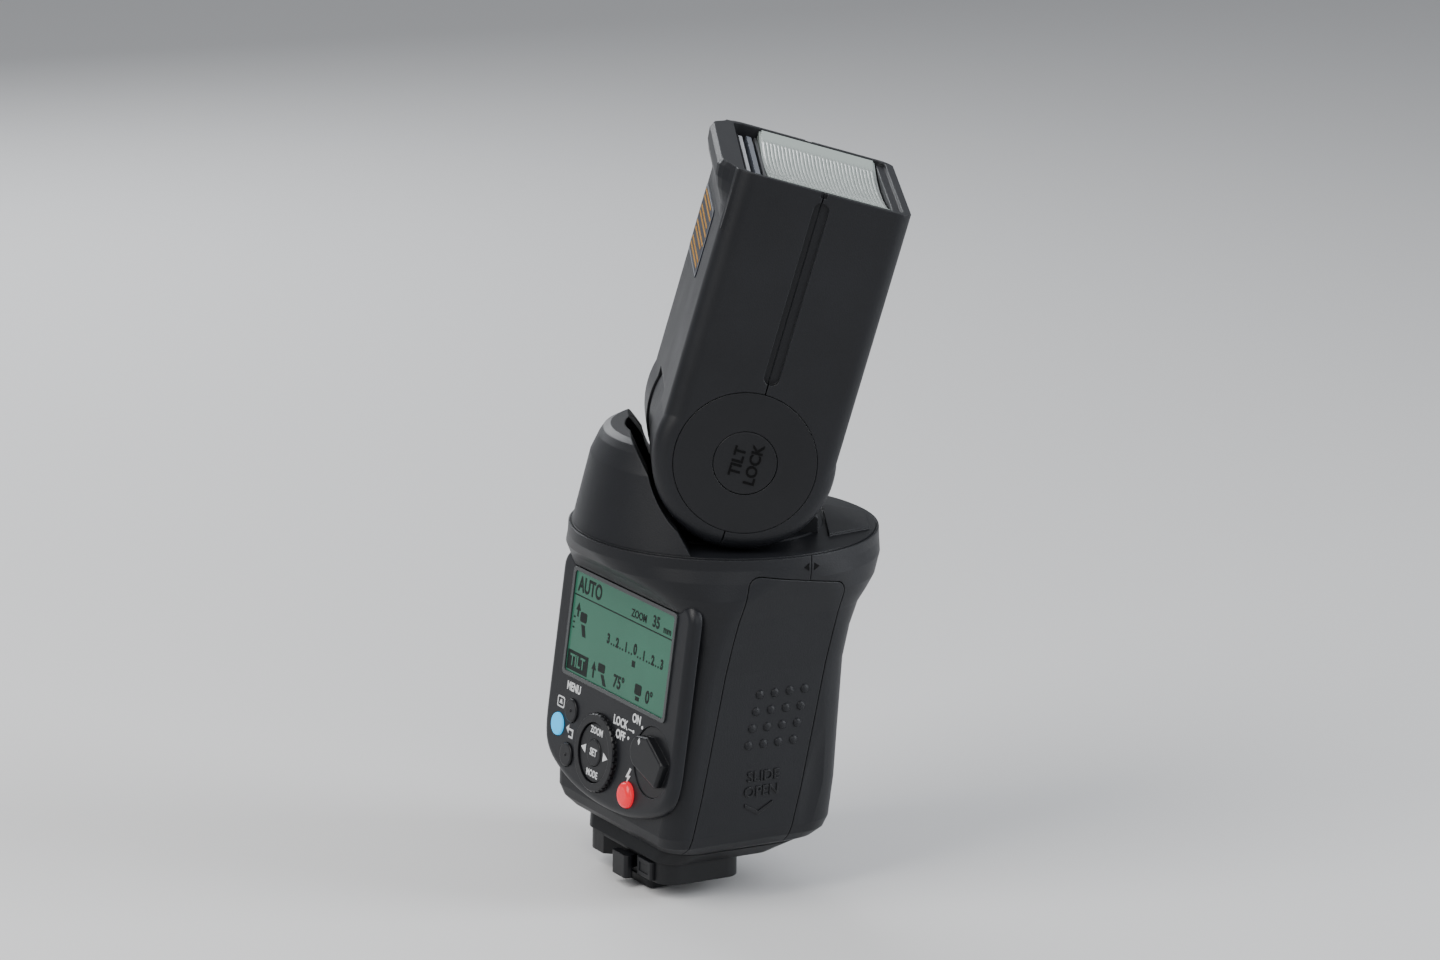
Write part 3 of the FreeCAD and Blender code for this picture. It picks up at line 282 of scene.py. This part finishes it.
def join(meshes):
    bm = bmesh.new()
    for mesh in meshes:
        bm.from_mesh(mesh)
    joined = bpy.data.meshes.new("joined")
    bm.to_mesh(joined)
    bm.free()
    return joined


def dome(cx, cy, z, radius, height, matrix, segments=14, rings=4):
    """Rounded bump whose short skirt sinks 0.25 below z."""
    verts = [(x, y, z - 0.25) for x, y in circle(cx, cy, radius, segments)]
    faces = [list(range(segments))]
    for j in range(rings):
        slope = math.pi / 2 * j / rings
        level = z + height * math.sin(slope)
        verts += [(x, y, level) for x, y in circle(cx, cy, radius * math.cos(slope), segments)]
    top = len(verts)
    verts.append((cx, cy, z + height))
    steps = [(i, (i + 1) % segments) for i in range(segments)]
    for j in range(rings):
        low, high = j * segments, (j + 1) * segments
        faces += [[low + i, low + k, high + k, high + i] for i, k in steps]
    faces += [[rings * segments + i, rings * segments + k, top] for i, k in steps]
    return make_mesh(verts, faces, matrix, smooth_angle=50)


def surface_tree(node_name):
    mesh = nodes[node_name].data
    return BVHTree.FromPolygons([v.co for v in mesh.vertices],
                                [list(p.vertices) for p in mesh.polygons])


def outer_x(trees, y, z, fallback):
    """Outermost x, on the right side, of the given surfaces at y, z."""
    start = Vector((80, y, z)) * MM
    hits = [tree.ray_cast(start, Vector((-1, 0, 0)))[0] for tree in trees]
    return max([hit.x / MM for hit in hits if hit] or [fallback])


# ------------------------------------------------------------- rear display
# Word tables: word, x, y, size, boldness, width factor
LCD_HEADINGS = (("AUTO", -17.0, 9.3, 5.2, 0.14, 0.80), ("ZOOM", 7.4, 8.5, 2.7, 0.06, 0.9),
                ("35", 15.6, 8.9, 3.9, 0.10, 0.9), ("mm", 21.1, 8.2, 2.4, 0.07, 1.0))
LCD_ANGLES = (("75°", 1.6, -9.5, 4.3, 0.12, 0.9), ("0°", 16.4, -9.5, 4.3, 0.12, 0.9))
SCALE_X, SCALE_Y, SCALE_PITCH = 7.4, -0.3, 4.35
MODE_BOX = (-24.0, -11.9, -13.9, -7.1)


def panel_words(rows, z, thick):
    return [text(word, x, y, z, size, PANEL, thick, bold, width)
            for word, x, y, size, bold, width in rows]


def lcd_words(*rows):
    return panel_words(rows, z=-0.04, thick=0.08)


def lcd_shapes(*outlines):
    return [slab(outline, -0.09, 0.0, PANEL) for outline in outlines]


def up_arrow(x, y, tip, tail):
    """Upward arrow with the base of its head centred on x, y."""
    return [(x - 1.1, y), (x, y + tip), (x + 1.1, y), (x + 0.35, y), (x + 0.35, y - tail),
            (x - 0.35, y - tail), (x - 0.35, y)]


def scale_marks():
    """Digits 3 to 0 to 3 with two dots between neighbours; the 0 is larger."""
    marks = []
    for k in range(-3, 4):
        lift, size = (0.5, 3.6) if k == 0 else (0, 3.2)
        marks += lcd_words((str(abs(k)), SCALE_X + k * SCALE_PITCH, SCALE_Y + lift,
                            size, 0.15, 0.88))
        if k < 3:
            marks += lcd_shapes(*[circle(SCALE_X + (k + part) * SCALE_PITCH,
                                         SCALE_Y - 0.85, 0.28, 10) for part in (0.36, 0.64)])
    # Block under the 0
    return marks + lcd_shapes(rect(SCALE_X - 0.75, -4.0, SCALE_X + 0.75, -2.5))


def build_display():
    add("display_frame", rect_ring(-25.3, -13.4, 25.3, 13.4, 1.2, 0.95, 0.8, -0.02, 0.38, PANEL),
        "base", "lcd_frame")
    ink = lcd_words(*LCD_HEADINGS)
    ink += lcd_shapes(rect(-24.0, 6.45, 24.0, 6.75))
    ink += scale_marks()
    # Left symbol: arrow, block, slanted stem and three ticks; below it the mode box
    ink += lcd_shapes(up_arrow(-21.5, 3.0, tip=1.9, tail=1.6),
                      rounded_rect(-20.2, 0.6, -17.0, 3.0, 0.5),
                      [(-19.4, 0.0), (-17.6, 0.0), (-16.6, -2.8), (-18.2, -2.8)],
                      *[rect(-23.4, 0.9 - 1.3 * k, -22.6, 1.3 - 1.3 * k) for k in range(3)],
                      rect(*MODE_BOX))
    ink += lcd_words(*LCD_ANGLES)
    # Bottom row symbols: arrow, block and slanted stem, then a block over a short bar
    ink += lcd_shapes(up_arrow(-10.9, -9.2, tip=2.0, tail=2.0),
                      rounded_rect(-8.9, -9.0, -5.6, -6.9, 0.4),
                      [(-7.4, -9.4), (-5.9, -9.4), (-4.2, -11.9), (-5.7, -11.9)],
                      rounded_rect(9.4, -10.0, 12.6, -7.4, 0.5),
                      rect(10.1, -11.4, 11.9, -10.4))
    add("display_marks", join(ink), "base", "lcd_ink")
    x0, y0, x1, y1 = MODE_BOX
    mode = text("TILT", (x0 + x1) / 2, (y0 + y1) / 2, 0.02, 4.0, PANEL,
                thick=0.06, bold=0.10, width=0.95)
    add("display_mode_mark", join([mode]), "base", "lcd")


build_display()

# ---------------------------------------------------------- panel controls
PANEL_WORDS = (("LOCK", 4.9, -18.3, 3.0, 0.10, 0.85), ("ON", 12.2, -15.7, 3.0, 0.10, 0.85),
               ("OFF", 5.6, -21.3, 3.0, 0.10, 0.85), ("MENU", -19.0, -15.9, 2.9, 0.09, 0.85))
LEVER_DOTS = ((15.2, -16.9), (11.4, -18.9), (9.4, -21.0))
# Outlines, x and y on the panel
FRAMED_MARK = [(-25.1, -21.1), (-24.6, -21.1), (-24.35, -20.5), (-24.1, -21.1),
               (-23.6, -21.1), (-24.1, -20.0), (-24.6, -20.0)]
RETURN_ARROW = [(-20.4, -26.1), (-19.1, -27.2), (-19.1, -26.35), (-17.3, -26.35),
                (-17.3, -27.7), (-18.9, -27.7), (-18.9, -28.15), (-16.85, -28.15),
                (-16.85, -25.85), (-19.1, -25.85), (-19.1, -25.0)]
BOLT = [(11.9, -27.7), (10.3, -30.3), (11.3, -30.2), (10.6, -32.2),
        (12.6, -29.5), (11.6, -29.6), (12.6, -27.9)]
LEVER_DIAMOND = [(17.65, -18.75), (18.15, -19.6), (17.65, -20.5), (17.15, -19.6)]
PRINT_Z = (-0.01, 0.06)
PAD_X, PAD_Y, PAD_TOP = -4.3, -28.2, 0.8
PAD_WORDS = (("ZOOM", PAD_X, -22.95, 2.35, 0.06, 0.82), ("MODE", PAD_X, -33.45, 2.35, 0.06, 0.82))
PAD_ARROWS = ([(-10.9, PAD_Y), (-8.6, -29.3), (-8.6, -27.1)],
              [(2.3, PAD_Y), (0.0, -27.1), (0.0, -29.3)])


def build_panel_print():
    dots = [circle(x, y, 0.42, 14) for x, y in LEVER_DOTS]
    parts = panel_words(PANEL_WORDS, z=0.02, thick=0.07)
    parts += [slab(outline, *PRINT_Z, PANEL) for outline in dots + [rect(8.9, -18.75, 11.0, -19.0)]]
    parts.append(rect_ring(-26.1, -22.0, -22.6, -19.2, 0.6, 0.35, 0.4, *PRINT_Z, PANEL))
    parts += [slab(outline, *PRINT_Z, PANEL) for outline in (FRAMED_MARK, RETURN_ARROW, BOLT)]
    add("panel_print", join(parts), "base", "print_white")

    pad = panel_words(PAD_WORDS, z=PAD_TOP + 0.02, thick=0.07)
    pad += [slab(outline, PAD_TOP, PAD_TOP + 0.07, PANEL) for outline in PAD_ARROWS]
    add("pad_print", join(pad), "select_pad", "print_white")
    set_word = text("SET", PAD_X, PAD_Y, 1.12, 2.5, PANEL, thick=0.07, bold=0.07, width=0.85)
    add("set_print", set_word, "set_button", "print_white")
    add("lever_dot", slab(LEVER_DIAMOND, 1.84, 1.98, PANEL), "power_lever", "print_white")
    for name, y, button in (("menu_pip", -21.4, "sub_menu_button"),
                            ("back_pip", -32.4, "back_button")):
        add(name, dome(-18.6, y, 0.6, 0.45, 0.25, PANEL), button, "control_plastic")


build_panel_print()

# ----------------------------------------------------------- battery door
DOOR_ARROW = [(4.6, 25.2), (8.4, 23.0), (12.2, 25.2), (12.2, 24.3), (8.4, 22.0), (4.6, 24.3)]
WORD_LIFT = 0.02
door_tree = surface_tree("battery_door")


def door_x(y, z):
    return outer_x([door_tree], y, z, fallback=31.0)


def lay_on_door(mesh):
    for v in mesh.vertices:
        v.co.x = (door_x(v.co.y / MM, v.co.z / MM) + v.co.x / MM + WORD_LIFT) * MM
    return mesh


def build_door():
    # Four by four bumps; each lower row starts further towards -Y
    bumps = []
    for row in range(4):
        for column in range(4):
            y, z = 7.4 + 4.1 * column - 0.85 * row, 52.4 - 4.15 * row
            bumps.append(dome(y, z, door_x(y, z), 1.15, 0.55, RIGHT_SIDE))
    add("door_grip_bumps", join(bumps), "battery_door", "body_plastic")
    marks = [text(word, y, z, 0, 3.7, RIGHT_SIDE, thick=0.5, bold=0.03)
             for word, y, z in (("SLIDE", 9.3, 31.8), ("OPEN", 8.9, 28.0))]
    marks.append(slab(DOOR_ARROW, -0.25, 0.25, RIGHT_SIDE))
    add("door_words", join([lay_on_door(mark) for mark in marks]),
        "battery_door", "control_plastic")


build_door()

# -------------------------------------------------------------------- head
WINDOW_HALF, WINDOW_LOW, WINDOW_HEIGHT = 30.2, -16.1, 28.1
RIBS, RIB_STEPS, COLUMNS = 30, 6, 44
RIBBED_HALF, RIB_FADE = 23.6, 1.2
RIB_HEIGHT, END_RISE = 0.46, 0.55


def window_point(i, j, ribbed):
    """Point on the window's ribbed outer skin, or on the plain skin behind it."""
    x = -WINDOW_HALF + 2 * WINDOW_HALF * i / COLUMNS
    y = 64.3 + 1.9 * (x / 30.9) ** 2
    z = WINDOW_LOW + WINDOW_HEIGHT * j / (RIBS * RIB_STEPS)
    if not ribbed:
        return (x, y - 0.35, z)
    ribs = max(0.0, min(1.0, (RIBBED_HALF - abs(x)) / RIB_FADE))
    rib = RIB_HEIGHT * abs(math.sin(math.pi * (j % RIB_STEPS) / RIB_STEPS)) * ribs
    end = max(0, (abs(x) - RIBBED_HALF) / (WINDOW_HALF - RIBBED_HALF))
    return (x, y + 0.06 + rib + END_RISE * (1 - ribs) * end, z)


def build_window():
    nu, nv = COLUMNS, RIBS * RIB_STEPS
    verts = [window_point(i, j, ribbed)
             for ribbed in (True, False) for j in range(nv + 1) for i in range(nu + 1)]
    back = len(verts) // 2

    def at(i, j):
        return j * (nu + 1) + i

    faces = []
    for j in range(nv):
        for i in range(nu):
            quad = [at(i, j), at(i + 1, j), at(i + 1, j + 1), at(i, j + 1)]
            faces += [quad, [back + v for v in quad]]
    rim = [(at(i, j), at(i + 1, j)) for i in range(nu) for j in (0, nv)]
    rim += [(at(i, j), at(i, j + 1)) for j in range(nv) for i in (0, nu)]
    faces += [[a, b, back + b, back + a] for a, b in rim]
    add("window_ribs", make_mesh(verts, faces, HEAD, smooth_angle=40), "head", "window")


def build_angle_words():
    for side, matrix in (("right", HEAD @ RIGHT_SIDE), ("left", HEAD @ LEFT_SIDE)):
        words = [text(word, 0, y, 33.35, 3.7, matrix, thick=0.36, bold=0.08)
                 for word, y in (("TILT", 1.8), ("LOCK", -2.2))]
        add("angle_words_" + side, join(words), "angle_button_" + side,
            "print_dark")


LABEL_Z = 21.42
BAR_START, BAR_HALF, BAR_GAP = -24.5, 0.33, 0.55
ROW_ENDS = (5.5, 7.0, 2.5, 6.5, 7.2, 4.0, 6.8, 1.0)
BAR_LENGTHS = (1.1, 1.7, 0.8, 2.2, 1.4, 0.9, 1.9)


def build_label():
    """Border and rows of short amber bars; each row starts one length further on."""
    add("label_border", rect_ring(-26.6, 35.1, 9.6, 51.3, 1.8, 0.25, 1.6,
                                  LABEL_Z - 0.05, LABEL_Z + 0.04, HEAD),
        "head", "print_grey")
    bars = []
    for row, row_end in enumerate(ROW_ENDS):
        y = 36.8 + 1.55 * row + 0.85 * (row // 2)
        x, count = BAR_START, row
        while x < row_end:
            end = min(row_end, x + BAR_LENGTHS[count % 7])
            bars.append(slab(rect(x, y - BAR_HALF, end, y + BAR_HALF),
                             LABEL_Z - 0.05, LABEL_Z + 0.05, HEAD))
            x = end + BAR_GAP
            count += 1
    add("label_bars", join(bars), "head", "amber")


build_window()
build_angle_words()
build_label()

# ------------------------------------------- index triangles at the shell seam
SEAM_Y, INDEX_Z = 17.55, 83.9
# side of the seam, outline about the seam point
INDEX_MARKS = ((-1, [(-0.75, -0.9), (-0.75, 0.9), (-2.15, 0)]),
               (1, [(0.75, -0.9), (2.15, 0), (0.75, 0.9)]))
shell_trees = [surface_tree("front_shell"), surface_tree("rear_shell")]
triangles = []
for side, outline in INDEX_MARKS:
    x = outer_x(shell_trees, SEAM_Y + 1.2 * side, INDEX_Z, fallback=37.2)
    triangles.append(slab([(SEAM_Y + y, INDEX_Z + z) for y, z in outline],
                          x - 0.25, x + 0.12, RIGHT_SIDE))
add("ring_index", join(triangles), "base", "print_dark")


# ---------------------------------------------------- floor, light, camera
def build_floor(half=6, z=-0.0003):      # metres
    mesh = bpy.data.meshes.new("floor")
    mesh.from_pydata([(x, y, z) for x, y in rect(-half, -half, half, half)], [], [(0, 1, 2, 3)])
    material, tree, shader = new_material("floor")
    noise = add_node(tree, "TexNoise", {"Scale": 9}).outputs["Fac"]
    colour = mix_colours(tree, noise, (0.62, 0.62, 0.625, 1), (0.67, 0.67, 0.67, 1))
    set_inputs(shader, {"Base Color": colour, "Roughness": 0.7})
    mesh.materials.append(material)
    floor = bpy.data.objects.new("floor", mesh)
    bpy.context.scene.collection.objects.link(floor)


build_floor()
world = bpy.data.worlds.new("w")
bpy.context.scene.world = world
world.use_nodes = True
set_inputs(world.node_tree.nodes["Background"],
           {"Color": (0.80, 0.83, 0.88, 1), "Strength": 0.42})

# The camera looks from azimuth (from -Y towards +X) and elevation, rolled about its axis
azimuth, elevation, roll = (math.radians(v) for v in (59.815, 13.905, 1.072))
back = Vector((math.sin(azimuth) * math.cos(elevation),
               -math.cos(azimuth) * math.cos(elevation), math.sin(elevation)))
right = Vector((math.cos(azimuth), math.sin(azimuth), 0))
unrolled = Matrix((right, back.cross(right), back))
rolling = Matrix(((math.cos(roll), math.sin(roll), 0),
                  (-math.sin(roll), math.cos(roll), 0), (0, 0, 1)))
camera_axes = (rolling @ unrolled).transposed()
CAMERA_OFFSET = (12.425817, 27.658874, 1405.318)   # right, up, back in the camera's axes
CAMERA_TARGET = (0, 0, 0.07)                       # metres

camera_data = bpy.data.cameras.new("cam")
camera_data.sensor_width = 36
camera_data.lens = 146.21415
camera_data.clip_start = 0.05
camera = bpy.data.objects.new("cam", camera_data)
position = camera_axes @ Vector(CAMERA_OFFSET) * MM + Vector(CAMERA_TARGET)
camera.matrix_world = Matrix.Translation(position) @ camera_axes.to_4x4()
bpy.context.scene.collection.objects.link(camera)
bpy.context.scene.camera = camera

LIGHT_TARGET = (0, 0.015, 0.1)           # metres
# name, direction in the camera's axes, distance and size in metres, power, colour
LIGHTS = (
    ("key", (-0.75, 0.75, 0.75), 0.9, (0.55, 0.8), 9, (1, 0.98, 0.95)),
    ("side", (1.0, 0.35, 0.25), 0.9, (0.35, 0.9), 8, (0.93, 0.96, 1.0)),
    ("rim", (-0.5, 0.8, -0.9), 1.0, (0.5, 0.5), 5, (0.95, 0.97, 1.0)),
    ("fill", (0.35, 0.2, 1.0), 1.3, (0.9, 0.9), 4.5, (1, 1, 1)),
)
for name, direction, distance, size, power, colour in LIGHTS:
    outward = (camera_axes @ Vector(direction)).normalized()
    light = bpy.data.lights.new(name, "AREA")
    light.shape = "RECTANGLE"
    light.size, light.size_y = size
    light.energy = power
    light.color = colour
    lamp = bpy.data.objects.new(name, light)
    lamp.location = Vector(LIGHT_TARGET) + outward * distance
    lamp.rotation_euler = (-outward).to_track_quat("-Z", "Y").to_euler()
    bpy.context.scene.collection.objects.link(lamp)
